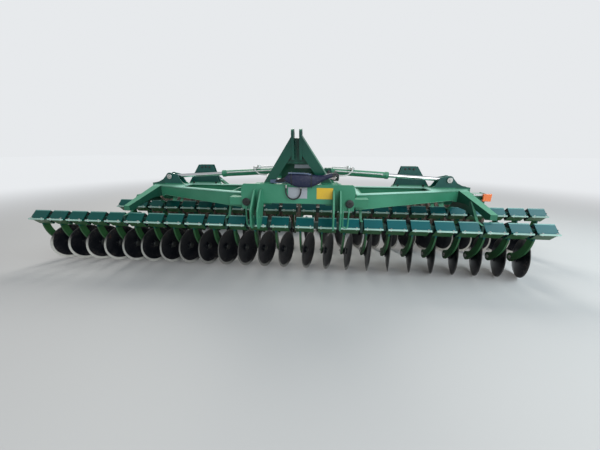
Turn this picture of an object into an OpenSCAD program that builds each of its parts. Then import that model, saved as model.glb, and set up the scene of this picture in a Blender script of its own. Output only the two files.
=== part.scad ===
// Mounted disc harrow, six metres wide, with two rows of separately sprung discs and two wings
// that fold up about hinges on a short centre frame. The front faces -Y and +X is across.

/* [Rows] */
// Distance from one disc to the next along a row
pitch = 250; // [230:5:270]
// Extra room on each side of the middle, where the two wings meet
wing_gap = 16; // [0:2:24]
// Discs on the side where a row reaches further out
discs_long = 13; // [11:1:13]
// Discs on the side where a row is shorter
discs_short = 11; // [9:1:11]
// Distance between the two rows
row_gap = 770; // [700:10:850]
// Height of the two row tubes
row_z = 625; // [600:5:650]

/* [Discs] */
// Diameter of a disc
disc_d = 460; // [430:10:470]
// Thickness of a disc
disc_t = 5; // [4:1:8]
// Radius of the dish of a disc
dish_r = 600; // [500:20:800]
// Angle between a disc and the direction of travel
disc_angle = 17; // [12:1:18]
// Distance of a disc's middle behind its row tube
disc_back = 210; // [190:5:240]
// Shift of a disc's middle along the row, from its clamp
disc_shift = 32.5; // [20:2.5:40]

/* [Clamps] */
// Length of a clamp along the row
clamp_l = 200; // [190:2:216]
// Outside width of a clamp, over its flats
clamp_w = 125; // [120:1:130]
// Thickness of the clamp's plate
clamp_t = 8; // [6:1:10]
// Width of the square row tube
tube_w = 72; // [68:1:74]
// Thickness of the row tube
tube_t = 8; // [6:1:10]
// How far the clamp's flanges stand out
flange_out = 22; // [16:1:26]

/* [Disc arms] */
// Thickness of an arm
arm_t = 20; // [16:1:24]
// Width of an arm
arm_w = 76; // [60:2:90]

/* [Fold] */
// Distance of a fold hinge from the middle
hinge_x = 545; // [530:5:570]
// Height of the fold hinges
hinge_z = 910; // [895:5:915]
// Radius of the hinge pins
pin_r = 20; // [16:1:24]
// Radial play of pins and rods
play = 0.25; // [0.15:0.05:0.5]

/* [Wing girder] */
// Height of the girder's top face
girder_top = 985; // [980:5:1000]
// Height of the girder at its inner end
girder_h = 175; // [160:5:180]
// Height of the girder at its outer end
girder_h_out = 120; // [100:5:140]
// Where the girder ends on the outside
girder_end = 1890; // [1850:10:1930]
// Position of the cross forks that hold the row tubes, counted in discs from the middle
fork_at = [3, 8]; // [1:1:11]

/* [Centre frame] */
// Shift of the centre frame from the middle of the rows
frame_shift = 65; // [0:5:70]
// Height of the front beam's top face
beam_top = 1100; // [1080:5:1110]
// Distance between the middles of the two lower hitch brackets
hitch_span = 825; // [800:5:870]
// Height of the lower hitch holes
hitch_z = 780; // [770:5:800]
// Diameter of the lower hitch holes
hitch_hole = 36.6; // [36:0.1:38]
// Height of the top link hole
top_link_z = 1590; // [1560:10:1640]
// Diameter of the top link hole
top_link_hole = 32; // [31:0.5:33]

/* [Fold cylinders] */
// Outside diameter of the barrel
barrel_d = 80; // [74:1:86]
// Diameter of the rod
rod_d = 50; // [44:1:54]

/* [Roller] */
// Diameter of the rear roller
roller_d = 580; // [560:10:600]
// Distance of the roller behind the rear row
roller_back = 1030; // [1000:10:1060]
// Rings on each roller
ring_count = 24; // [20:1:24]
// Width of each roller with its end rings
roller_l = 2850; // [2800:10:2860]

/* [Hidden] */
$fn = 48;
eps = 0.01;

green = [0.03, 0.36, 0.20];
dark_green = [0.02, 0.26, 0.15];
steel = [0.72, 0.73, 0.74];
disc_grey = [0.16, 0.16, 0.17];
roller_brown = [0.20, 0.16, 0.13];
hose_black = [0.05, 0.05, 0.07];

// Ends of the machine fore and aft, seen from the front row, and the middle between them
link_front = -365;
scraper_rear = row_gap + roller_back + 395;
y_mid = (link_front + scraper_rear) / 2;

// Rows: [name, distance behind the front row, side on which the row is longer]
ROWS = [["front", 0, -1], ["rear", row_gap, 1]];
roller_y = row_gap + roller_back;
roller_x0 = 130;
roller_r = roller_d / 2;

// Disc measures, counted along its axis from the plane of its edge towards the arm
disc_r = disc_d / 2;
dish_depth = dish_r - sqrt(dish_r * dish_r - disc_r * disc_r);
hub_end = dish_depth + 22;
hub_gap = 2;
arm_near = hub_end + hub_gap;
boss_r = 42;
arm_mid = arm_near + boss_r * tan(disc_angle) + arm_t / 2 / cos(disc_angle);
arm_aside = arm_mid * cos(disc_angle) - disc_shift;
spindle_r = 18;
spindle_end = dish_depth - 14;

// Clamp section
clamp_tip = clamp_w / sqrt(2);
clamp_inner = (clamp_w - 2 * clamp_t) / sqrt(2);
cord_r = (clamp_inner - tube_w / 2) / (1 + sqrt(2));
cord_c = tube_w / 2 + cord_r;
cord_gap = 0.5;

// Disc arm, as an arc that leaves the clamp straight down and ends at the hub
arm_top_y = 30;
arm_top_z = row_z - 60;
arm_reach = disc_back + arm_mid * sin(disc_angle) - arm_top_y;
arm_drop = arm_top_z - disc_r;
arm_bend = (arm_reach * arm_reach + arm_drop * arm_drop) / (2 * arm_reach);

// Fold cylinder: pivot on the centre frame, rod pin on the wing, and the line between them
cyl_y = 600;
cyl_pivot = [320, 1180];
cyl_eye = [1820, 1090];
cyl_len = norm(cyl_eye - cyl_pivot);
cyl_tilt = atan2(cyl_eye[1] - cyl_pivot[1], cyl_eye[0] - cyl_pivot[0]);
barrel_l = 772;
bracket_gap = 92;
bracket_t = 12;

// Hinge ears and knuckles, as [from, to] along the machine, for the front and the rear hinge
FRONT_KNUCKLE = [-125, -35];
REAR_KNUCKLE = [422, 512];
ear_t = 22;
ear_gap = 3;
ear_r = 50;
knuckle_r = 42;
girder_in = hinge_x + 85;
girder_back = 660;
front_slope = 430 / (girder_end - girder_in);
beam_half = hinge_x - 90;
beam_front = -150;
beam_w = 140;
beam_h = 200;

// Tower of the upper hitch point: lean, place of its foot, and half the slot between its ears
lean = 12;
foot_y = -80;
slot_half = 26;
tower_h = (top_link_z - beam_top) / cos(lean);
top_link_y = foot_y - (top_link_z - beam_top) * tan(lean);

// Free hose in front of the beam, from one fitting to the next
hose_d = 16;
hose_seat_z = 1098;
HOSE = [
    [-45, -176, 1098], [-45, -176, 1080], [-46, -178, 1060], [-48, -180, 1040], [-47, -181, 1020],
    [-42, -182, 1000], [-32, -183, 981], [-17, -184, 966], [3, -185, 956], [26, -185, 951],
    [49, -185, 954], [70, -184, 964], [87, -183, 980], [98, -182, 1000], [104, -180, 1022],
    [106, -178, 1048], [105, -176, 1076], [105, -176, 1098]
];

function disc_name(row, i) = str("disc_", row, "_", i < 10 ? "0" : "", i);

// Clamps of a row on one side of the machine
function side_count(row, side) = row[2] == side ? discs_long : discs_short;

// Place of clamp i of a row, counted from 0 at the left end
function clamp_x(row, i) = (i + 0.5 - side_count(row, -1)) * pitch
    + (i < side_count(row, -1) ? -wing_gap : wing_gap);

// Moves children from a frame that starts at the front row to the middle of the machine
module machine() {
    translate([0, -y_mid, 0]) children();
}

// Mirrors children for the left side
module side(s) {
    mirror([s < 0 ? 1 : 0, 0, 0]) children();
}

// Plate in the plane across the machine: children are drawn in x and z
module cross_plate(y, t) {
    translate([0, y + t, 0]) rotate([90, 0, 0]) linear_extrude(height = t) children();
}

// Plate in the fore and aft plane: children are drawn in y and z
module long_plate(x, t) {
    translate([x, 0, 0]) rotate([90, 0, 90]) linear_extrude(height = t) children();
}

// Moves children by the shift of the centre frame, and mirrors them for the left side
module frame_side(s) {
    translate([frame_shift, 0, 0]) side(s) children();
}

// Puts children at a disc's middle, with z along its axis towards the arm
module at_disc(row, i) {
    s = row[2];
    translate([clamp_x(row, i) - s * disc_shift, row[1] + disc_back, disc_r])
        rotate([0, 0, s * disc_angle])
            rotate([0, s * 90, 0])
                children();
}

// Dished plate with its hub
module disc(row, i) {
    color(disc_grey) machine() at_disc(row, i) {
        intersection() {
            translate([0, 0, -20]) difference() {
                cylinder(r = disc_r, h = dish_depth + 40, $fn = 96);
                cylinder(r = 30, h = dish_depth + 40);
            }
            translate([0, 0, dish_depth - dish_r]) difference() {
                sphere(r = dish_r, $fn = 160);
                sphere(r = dish_r - disc_t, $fn = 160);
            }
        }
        difference() {
            union() {
                translate([0, 0, dish_depth - 8]) cylinder(r = 56, h = 14);
                translate([0, 0, dish_depth - 26]) cylinder(r = 38, h = hub_end - dish_depth + 26);
            }
            translate([0, 0, spindle_end - 3]) cylinder(r = spindle_r + play, h = hub_end);
        }
    }
}

// Square on edge, by its half diagonal
module diamond(tip) {
    polygon([[tip, 0], [0, tip], [-tip, 0], [0, -tip]]);
}

// Clamp of two half shells with the four rubber cords inside, along x
module clamp_shell() {
    rotate([90, 0, 90]) linear_extrude(height = clamp_l, center = true) {
        difference() {
            union() {
                diamond(clamp_tip);
                square([2 * (clamp_tip + flange_out), 2 * clamp_t], center = true);
            }
            diamond(clamp_inner);
        }
        for (a = [0:90:270]) rotate(a) translate([cord_c + cord_gap, 0]) circle(r = cord_r);
    }
}

// Outline of a disc arm, in the plane of the arm with x backwards
module arm_outline() {
    intersection() {
        translate([arm_top_y + arm_bend, arm_top_z]) difference() {
            circle(r = arm_bend + arm_w / 2, $fn = 96);
            circle(r = arm_bend - arm_w / 2, $fn = 96);
        }
        translate([arm_top_y - arm_w, disc_r - 10]) square([arm_reach + arm_w, arm_drop + 30]);
    }
    translate([arm_top_y + arm_reach, disc_r]) circle(r = 52);
}

// Arm from the lower half of a clamp down to its disc, beside the clamp's middle
module disc_arm(row, i) {
    translate([clamp_x(row, i) + row[2] * arm_aside, row[1], 0])
        rotate([90, 0, 90]) linear_extrude(height = arm_t, center = true) arm_outline();
}

// Spindle on which a disc turns, with the boss that joins it to the arm at the disc's angle
module spindle(row, i) {
    at_disc(row, i) {
        translate([0, 0, spindle_end]) cylinder(r = spindle_r, h = arm_mid - spindle_end);
        translate([0, 0, arm_near]) cylinder(r = boss_r, h = arm_mid - arm_near - 4);
    }
}

// All clamps and arms of one wing
module disc_mounts(s) {
    color(green) machine() for (row = ROWS) {
        first = s < 0 ? 0 : side_count(row, -1);
        for (i = [first : first + side_count(row, s) - 1]) {
            translate([clamp_x(row, i), row[1], row_z]) clamp_shell();
            spindle(row, i);
            difference() {
                disc_arm(row, i);
                translate([clamp_x(row, i), row[1], row_z]) rotate([90, 0, 90])
                    linear_extrude(height = 2 * pitch, center = true) diamond(clamp_inner + 2);
            }
        }
    }
}

// Square row tube of one wing
module row_tube(row, s) {
    l = side_count(row, s) * pitch - 6;
    translate([s * (l / 2 + 3 + wing_gap), row[1], row_z]) rotate([90, 0, 90])
        linear_extrude(height = l, center = true) difference() {
            square(tube_w, center = true);
            square(tube_w - 2 * tube_t, center = true);
        }
}

// Height of the girder's underside at a place across
function girder_bottom(x) = girder_top - girder_h
    + (girder_h - girder_h_out) * (x - girder_in) / (girder_end - girder_in);

// Half of the girder's body, tapered in plan and in height, drawn smaller by t all round
module girder_body(t) {
    intersection() {
        translate([0, 0, girder_top - girder_h]) linear_extrude(height = girder_h - t) polygon([
            [girder_in + t, front_slope * t + 1.06 * t], [girder_in + t, girder_back - t],
            [girder_end - t, girder_back - t], [girder_end - t, 430 - front_slope * t + 1.06 * t]
        ]);
        cross_plate(0, girder_back) polygon([
            [girder_in, girder_bottom(girder_in) + t], [girder_end, girder_bottom(girder_end) + t],
            [girder_end, girder_top], [girder_in, girder_top]
        ]);
    }
}

// Tapered hollow girder with its overhanging top flange, open above between the flanges, right side
module girder() {
    lip = 9;
    rim = 45;
    well_end = cyl_eye[0] - 270;
    difference() {
        union() {
            girder_body(0);
            translate([0, 0, girder_top - 12]) linear_extrude(height = 12) polygon([
                [girder_in, -lip], [girder_in, girder_back], [girder_end, girder_back],
                [girder_end, 430 - lip]
            ]);
        }
        girder_body(10);
        translate([0, 0, girder_top - 20]) linear_extrude(height = 21) polygon([
            [girder_in + rim, front_slope * rim + rim], [girder_in + rim, girder_back - rim],
            [well_end, girder_back - rim], [well_end, front_slope * (well_end - girder_in) + rim]
        ]);
        for (x = [900, 1200, 1500]) translate([x, 500, girder_top - girder_h])
            cylinder(r = 45, h = girder_h / 2);
    }
}

// Leg of a fork plate around a row tube, set back behind it, with its foot to the girder, in y and z
module fork_leg(top) {
    polygon([
        [-60, row_z - 55], [-60, row_z + 60], [60, row_z + 80], [150, top - 90], [225, top], [300, top],
        [300, top - 120], [260, top - 130], [105, row_z + 110], [60, row_z + 60], [60, row_z - 55]
    ]);
}

// Arched fork plate that holds both row tubes, in the gap between two clamps
module fork(x, top) {
    long_plate(x - 13, 26) {
        fork_leg(top);
        translate([row_gap, 0]) mirror([1, 0]) fork_leg(top);
        translate([290, top - 120]) square([row_gap - 580, 120]);
    }
}

// Knuckle of the wing around a hinge pin, with the lug to the girder
module knuckle(span) {
    cross_plate(span[0], span[1] - span[0]) difference() {
        union() {
            translate([hinge_x, hinge_z]) circle(r = knuckle_r);
            translate([hinge_x, hinge_z - knuckle_r]) square([girder_in + 60 - hinge_x, 2 * knuckle_r]);
        }
        translate([hinge_x, hinge_z]) circle(r = pin_r + play);
    }
}

// Outline of the bracket for the rod's eye: rounded over the pin, hollow on its outer flank
module rod_bracket_outline() {
    crown = 52;
    base = girder_top - 6;
    translate(cyl_eye) circle(r = crown);
    polygon([
        [cyl_eye[0] - 220, base], [cyl_eye[0] - 165, base + 35], [cyl_eye[0] - 128, base + 95],
        [cyl_eye[0] - 112, cyl_eye[1] + 28], [cyl_eye[0], cyl_eye[1] + crown - 2],
        [cyl_eye[0] + 45, cyl_eye[1] + 24], [cyl_eye[0] + 100, base + 75], [cyl_eye[0] + 175, base + 38],
        [cyl_eye[0] + 262, base + 24],
        [cyl_eye[0] + 262, base - 60], [cyl_eye[0] + 80, base - 60], [girder_end - 20, base]
    ]);
}

// Bracket for the rod's eye, two plates with their pin heads
module rod_bracket() {
    for (d = [-1, 1]) {
        y = cyl_y + d * (bracket_gap + bracket_t) / 2 - bracket_t / 2;
        cross_plate(y, bracket_t) rod_bracket_outline();
        translate([cyl_eye[0], cyl_y + d * (bracket_gap / 2 + bracket_t + 6), cyl_eye[1]])
            rotate([90, 0, 0]) cylinder(r = 30, h = 14, center = true);
    }
}

// Outer arm, seen from above: out from the girder's end, forward to the front row and back to the rear row
module arm_plan() {
    polygon([
        [girder_end - 40, 420], [girder_end, 428], [2015, -30], [2085, -30], [1995, 440], [2085, 600],
        [2085, row_gap + 30], [1925, row_gap + 30], [girder_end - 40, girder_back + 10]
    ]);
}

// Outer arm, seen from the side: level over the girder's end, then straight down to each row
module arm_side() {
    polygon([
        [-30, 742], [-30, 800], [430, girder_top], [girder_back - 60, girder_top],
        [row_gap - 40, 880], [row_gap + 30, 790], [row_gap + 30, 742], [row_gap - 20, 742],
        [row_gap - 60, 790], [girder_back - 80, girder_bottom(girder_end) - 20],
        [300, girder_bottom(girder_end) - 20], [110, 790], [30, 742]
    ]);
}

// Outer arm from the girder's end over both rows
module outer_arm() {
    intersection() {
        translate([0, 0, 700]) linear_extrude(height = 300) arm_plan();
        long_plate(girder_end - 60, 320) arm_side();
    }
}

// Tower that carries the upper strut of the roller frame
module depth_tower() {
    foot_z = girder_top - 55;
    for (y = [760, 820]) cross_plate(y, 12) polygon([
        [1215, foot_z], [1215, foot_z + 25], [1300, 1240], [1500, 1240], [1690, foot_z + 25], [1690, foot_z]
    ]);
    translate([1340, 770, foot_z]) cube([120, 52, 1215 - foot_z]);
}

// Frame that carries the rear roller and its scrapers, right side
module roller_frame() {
    bar = 100;
    bar_z = roller_d + 60;
    plate_t = 16;
    carrier_top = girder_top - 65;
    plate_x = [roller_x0 - plate_t - 10, roller_x0 + roller_l + 10];
    // Carrier from the girder over the rear row, then down to the cross bar above the roller
    long_plate(1340, 120) polygon([
        [girder_back - 60, carrier_top - 120], [girder_back - 60, carrier_top], [row_gap + 380, carrier_top],
        [roller_y - 20, bar_z + bar + 5], [roller_y - 20, bar_z], [roller_y - 90, bar_z + 5],
        [row_gap + 330, carrier_top - 120]
    ]);
    // Tower foot
    translate([1190, 740, 900]) cube([525, 110, 32]);
    // Cross bar
    translate([plate_x[0], roller_y - bar / 2, bar_z]) cube([plate_x[1] + plate_t - plate_x[0], bar, bar]);
    for (x = plate_x) long_plate(x, plate_t) {
        // End plate with the bearing
        difference() {
            polygon([
                [roller_y - 70, bar_z + bar + 10], [roller_y + 70, bar_z + bar + 10],
                [roller_y + 95, bar_z - 40], [roller_y + 62, roller_r - 40], [roller_y + 35, roller_r - 66],
                [roller_y - 35, roller_r - 66], [roller_y - 62, roller_r - 40], [roller_y - 95, bar_z - 40]
            ]);
            translate([roller_y, roller_r]) circle(r = 30 + play);
        }
        // Arm of the scraper bar
        polygon([
            [roller_y + 45, roller_r + 60], [scraper_rear, roller_r + 105], [scraper_rear, roller_r + 35],
            [roller_y + 45, roller_r - 30]
        ]);
    }
    // Strut from the tower down to the carrier's rear end
    strut = [roller_y - 160 - 790, bar_z + bar + 60 - 1190];
    translate([1380, 790, 1190]) rotate([atan2(strut[1], strut[0]), 0, 0]) translate([0, 0, -20])
        cube([40, norm(strut), 40]);
    // Scraper bar behind the roller
    translate([plate_x[0] + 5, roller_y + 330, roller_r + 42]) cube([plate_x[1] - plate_x[0], 60, 60]);
}

// Structure of one wing
module wing_frame(s) {
    color(green) machine() {
        frame_side(s) {
            girder();
            fork(fork_at[0] * pitch + wing_gap - s * frame_shift, girder_top - 20);
            fork(fork_at[1] * pitch + wing_gap - s * frame_shift, girder_top - 95);
            knuckle(FRONT_KNUCKLE);
            knuckle(REAR_KNUCKLE);
            // Lug that joins the front knuckle to the girder
            translate([girder_in, FRONT_KNUCKLE[0], hinge_z - knuckle_r])
                cube([110, 60 - FRONT_KNUCKLE[0], 2 * knuckle_r]);
            rod_bracket();
            outer_arm();
            depth_tower();
            roller_frame();
        }
        for (row = ROWS) row_tube(row, s);
    }
}

// Ring roller of one wing, with its shaft
module roller(s) {
    ring = roller_l / ring_count;
    valley = 60;
    outline = concat(
        [[60, 0], [roller_r - valley, 0]],
        [for (i = [0:ring_count - 1]) each [
            [roller_r - valley, (i + 0.08) * ring], [roller_r, (i + 0.36) * ring],
            [roller_r, (i + 0.64) * ring], [roller_r - valley, (i + 0.92) * ring]
        ]],
        [[roller_r - valley, roller_l], [60, roller_l], [60, roller_l - 12],
            [roller_r - valley - 12, roller_l - 12], [roller_r - valley - 12, 12], [60, 12]]
    );
    color(roller_brown) machine() frame_side(s)
        translate([roller_x0, roller_y, roller_r]) rotate([90, 0, 90]) {
            rotate_extrude($fn = 96) polygon(outline);
            for (z = [-24, roller_l - 20]) translate([0, 0, z]) cylinder(r = 30, h = 44);
            for (z = [0, roller_l - 12]) translate([0, 0, z]) cylinder(r = 61, h = 12);
        }
}

// Ear of a hinge, right side, low so that the girder passes over it
module hinge_ear(y) {
    cross_plate(y, ear_t) {
        translate([hinge_x, hinge_z]) circle(r = ear_r);
        polygon([
            [beam_half - 155, hinge_z - ear_r], [hinge_x, hinge_z - ear_r], [hinge_x, hinge_z + ear_r],
            [beam_half - 155, hinge_z + ear_r]
        ]);
    }
}

// Hinge pin with the round head at its front end, right side
module hinge_pin(span, front) {
    rear = span[1] + ear_gap + ear_t + 10;
    translate([hinge_x, rear, hinge_z]) rotate([90, 0, 0]) cylinder(r = pin_r, h = rear - front);
    translate([hinge_x, front + 14, hinge_z]) rotate([90, 0, 0]) cylinder(r = 2 * pin_r, h = 14);
}

// Front plate of the beam, which is also the front ear of both hinges, right half
module front_plate() {
    cross_plate(beam_front, ear_t) polygon([
        [-1, beam_top - beam_h + 5], [hitch_span / 2 - 55, beam_top - beam_h + 5],
        [hitch_span / 2 - 40, hinge_z - 80], [hinge_x + 50, hinge_z - 80], [hinge_x + 56, beam_top - 70],
        [hinge_x + 40, beam_top - 15], [hinge_x + 25, beam_top], [-1, beam_top]
    ]);
}

// Lower hitch bracket of two plates, right side
module hitch_bracket() {
    gap = 52;
    t = 16;
    for (x = [hitch_span / 2 - gap / 2 - t, hitch_span / 2 + gap / 2]) long_plate(x, t) difference() {
        polygon([
            [beam_front + 5, beam_top - 50], [beam_front - 45, beam_top - 65],
            [link_front + 15, hitch_z + 95],
            [link_front, hitch_z + 70], [link_front, hitch_z - 80], [link_front + 25, hitch_z - 110],
            [-255, hitch_z - 110], [beam_front - 20, hitch_z - 20], [beam_front + 5, hinge_z - 80]
        ]);
        translate([-280, hitch_z]) circle(d = hitch_hole);
    }
}

// Leg of the tower, right side: a flat face with its edges folded back, in the tower's own plane
module tower_leg() {
    flange = 12;
    depth = 80;
    join = tower_h - 140;
    translate([0, depth / 2, 0]) rotate([90, 0, 0]) difference() {
        linear_extrude(height = depth) polygon([
            [272, -20], [381, -20], [slot_half + 26, tower_h - 20], [slot_half, tower_h - 20],
            [slot_half, join], [40, join - 40]
        ]);
        translate([0, 0, -1]) linear_extrude(height = depth - flange) polygon([
            [272 + flange, -30], [381 - flange, -30], [slot_half + 48, join - 30], [slot_half + 28, join - 40]
        ]);
    }
}

// Ear with the upper hitch hole, right side, in the tower's own plane
module tower_ear() {
    ear_w = 92;
    translate([slot_half, 0, 0]) rotate([90, 0, 90]) linear_extrude(height = 26) difference() {
        union() {
            translate([0, tower_h]) circle(d = ear_w);
            translate([-ear_w / 2, tower_h - 240]) square([ear_w, 240]);
        }
        translate([0, tower_h]) circle(d = top_link_hole);
    }
}

// Tower with its cross plates, and the backstays to the rear beam
module tower() {
    rear_top = beam_top - 60;
    translate([0, foot_y, beam_top]) rotate([lean, 0, 0]) {
        for (s = [-1, 1]) side(s) {
            tower_leg();
            tower_ear();
        }
        // Plate that closes the slot behind the link, and the web between the legs
        translate([-slot_half - 5, 28, tower_h - 210]) cube([2 * slot_half + 10, 16, 165]);
        cross_plate(22, 14) polygon([
            [-150, tower_h - 290], [150, tower_h - 290], [50, tower_h - 130], [-50, tower_h - 130]
        ]);
    }
    for (x = [-slot_half - 24, slot_half + 4]) long_plate(x, 20) polygon([
        [top_link_y - 5, top_link_z - 75], [top_link_y + 40, top_link_z - 25],
        [top_link_y + 75, top_link_z - 40],
        [480, rear_top + 75], [480, rear_top - 10], [400, rear_top - 10], [400, rear_top + 20]
    ]);
}

// Two fittings of the free hose on a small shelf at the beam's top edge
module hose_fittings() {
    translate([-62, beam_front - 45, beam_top]) cube([184, 50, 8]);
    translate([-62, beam_front, beam_top - 20]) cube([184, 6, 25]);
    for (p = [HOSE[0], HOSE[len(HOSE) - 1]]) translate(p)
        cylinder(r = 13, h = beam_top + 4 - hose_seat_z, $fn = 6);
}

// Centre frame with hitch, hinges and cylinder pivots
module centre_frame() {
    rail_x = 300;
    rear_y = [380, 660];
    rear_top = beam_top - 60;
    wall = 10;
    color(dark_green) machine() translate([frame_shift, 0, 0]) {
        // Front beam
        long_plate(-beam_half, 2 * beam_half) translate([beam_front, beam_top - beam_h]) difference() {
            square([beam_w, beam_h]);
            translate([wall, wall]) square([beam_w - 2 * wall, beam_h - 2 * wall]);
        }
        // Rear beam
        translate([-beam_half, rear_y[0], 900]) difference() {
            cube([2 * beam_half, rear_y[1] - rear_y[0], rear_top - 900]);
            translate([-1, wall, wall])
                cube([2 * beam_half + 2, rear_y[1] - rear_y[0] - 2 * wall, rear_top - 900 - 2 * wall]);
        }
        tower();
        for (s = [-1, 1]) side(s) {
            front_plate();
            // Rail between the beams
            translate([rail_x - 60, -15, 920]) cube([120, rear_y[0] + 20, 110]);
            hinge_ear(FRONT_KNUCKLE[1] + ear_gap);
            hinge_pin(FRONT_KNUCKLE, beam_front - 14);
            for (y = [REAR_KNUCKLE[0] - ear_gap - ear_t, REAR_KNUCKLE[1] + ear_gap]) hinge_ear(y);
            hinge_pin(REAR_KNUCKLE, REAR_KNUCKLE[0] - ear_gap - ear_t - 12);
            hitch_bracket();
            // Pivot plates of the fold cylinder
            for (d = [-1, 1]) cross_plate(cyl_y + d * 52 - 6, 12) difference() {
                polygon([[230, rear_top - 12], [280, 1220], [360, 1220], [410, rear_top - 12]]);
                translate(cyl_pivot) circle(r = pin_r - eps);
            }
            translate([cyl_pivot[0], cyl_y, cyl_pivot[1]]) rotate([90, 0, 0])
                cylinder(r = pin_r, h = 136, center = true);
        }
    }
    color(steel) machine() hose_fittings();
}

// Direction of a route at point i
function heading(route, i) =
    let (a = route[max(i - 1, 0)], b = route[min(i + 1, len(route) - 1)]) (b - a) / norm(b - a);

// Round tube swept along a route that lies near one upright plane
module swept_tube(route, d, sides) {
    ring = function (i)
        let (t = heading(route, i), v = cross(t, [0, 1, 0]) / norm(cross(t, [0, 1, 0])), w = cross(t, v))
            [for (k = [0:sides - 1]) let (a = 360 * k / sides) route[i] + d / 2 * (cos(a) * v + sin(a) * w)];
    n = len(route);
    polyhedron(
        points = [for (i = [0:n - 1]) each ring(i)],
        faces = concat(
            [[for (k = [0:sides - 1]) sides - 1 - k]],
            [[for (k = [0:sides - 1]) (n - 1) * sides + k]],
            [for (i = [0:n - 2]) for (k = [0:sides - 1])
                [i * sides + k, i * sides + (k + 1) % sides, (i + 1) * sides + (k + 1) % sides,
                    (i + 1) * sides + k]]
        )
    );
}

// Free hose that hangs in front of the beam
module hydraulic_hose() {
    color(hose_black) machine() swept_tube(HOSE, hose_d, 10);
}

// Puts children at a fold cylinder's pivot, with x along the cylinder
module along_cylinder() {
    translate([cyl_pivot[0], cyl_y, cyl_pivot[1]]) rotate([0, -cyl_tilt, 0]) children();
}

// Barrel of a fold cylinder
module fold_barrel(s) {
    color(green) machine() frame_side(s) along_cylinder() {
        rotate([90, 0, 0]) difference() {
            cylinder(r = 40, h = 84, center = true);
            cylinder(r = pin_r + play, h = 90, center = true);
        }
        translate([36, 0, 0]) rotate([0, 90, 0]) difference() {
            union() {
                cylinder(d = barrel_d, h = barrel_l - 36);
                // Gland at the rod's end and the collar at the foot
                translate([0, 0, barrel_l - 76]) cylinder(d = barrel_d + 10, h = 36);
                cylinder(d = barrel_d + 6, h = 30);
            }
            translate([0, 0, 30]) cylinder(d = barrel_d - 16, h = barrel_l - 36 - 70);
            translate([0, 0, 40]) cylinder(r = rod_d / 2 + play, h = barrel_l);
        }
    }
}

// Rod of a fold cylinder, with its eye
module fold_rod(s) {
    color(steel) machine() frame_side(s) along_cylinder() {
        translate([cyl_len, 0, 0]) rotate([90, 0, 0]) cylinder(r = 40, h = 80, center = true);
        translate([barrel_l - 100, 0, 0]) rotate([0, 90, 0]) cylinder(d = rod_d, h = cyl_len - barrel_l + 90);
    }
}

centre_frame();
wing_frame(-1);  // wing_frame_left
wing_frame(1);  // wing_frame_right
disc_mounts(-1);  // disc_mounts_left
disc_mounts(1);  // disc_mounts_right
fold_barrel(-1);  // fold_barrel_left
fold_barrel(1);  // fold_barrel_right
fold_rod(-1);  // fold_rod_left
fold_rod(1);  // fold_rod_right
roller(-1);  // roller_left
roller(1);  // roller_right
hydraulic_hose();
for (row = ROWS) for (i = [1:24]) disc(row, i - 1);
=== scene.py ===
"""Dresses the folding disc harrow: finishes for every CAD node, and the small pieces that ride on its bodies."""
from __future__ import annotations

import logging
import math
from collections.abc import Callable
from dataclasses import dataclass, field
from enum import Enum

import bmesh
import bpy
from mathutils import Matrix, Vector


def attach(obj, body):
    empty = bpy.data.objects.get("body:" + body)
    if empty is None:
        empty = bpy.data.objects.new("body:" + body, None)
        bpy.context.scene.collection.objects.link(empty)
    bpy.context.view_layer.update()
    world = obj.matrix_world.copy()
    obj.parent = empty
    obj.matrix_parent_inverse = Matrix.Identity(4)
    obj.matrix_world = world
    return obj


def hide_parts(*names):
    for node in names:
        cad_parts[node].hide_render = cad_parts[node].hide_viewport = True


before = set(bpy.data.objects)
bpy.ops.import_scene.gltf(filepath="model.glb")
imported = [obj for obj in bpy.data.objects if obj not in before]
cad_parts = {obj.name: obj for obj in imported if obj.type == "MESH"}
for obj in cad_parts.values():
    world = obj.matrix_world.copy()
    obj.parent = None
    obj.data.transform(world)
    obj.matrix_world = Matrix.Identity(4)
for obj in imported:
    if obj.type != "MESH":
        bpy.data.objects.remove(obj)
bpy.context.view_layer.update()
LOG = logging.getLogger("disc_harrow")

Point = tuple[float, float, float]
Colour = tuple[float, float, float, float]
Socket = bpy.types.NodeSocket
Material = bpy.types.Material
Ink = Colour | Socket


class Side(Enum):
    """Left and right wing, with the sign of x on that side."""

    LEFT = -1
    RIGHT = 1

    @property
    def word(self) -> str:
        """Name of the side as the CAD nodes spell it."""
        return self.name.lower()

    @property
    def wing(self) -> str:
        """Body of the wing on this side."""
        return f"wing_{self.word}"


class Slot(Enum):
    """Material slots that the pieces carry."""

    FRAME = "frame_paint"
    ARM = "arm_paint"
    CHROME = "rod_chrome"
    DISC = "disc_steel"
    HOSE = "hose_rubber"


@dataclass(frozen=True)
class Row:
    """One row of discs: its name, its place fore and aft, and the way its discs look."""

    name: str
    y: float
    sign: int
    left_count: int


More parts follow.
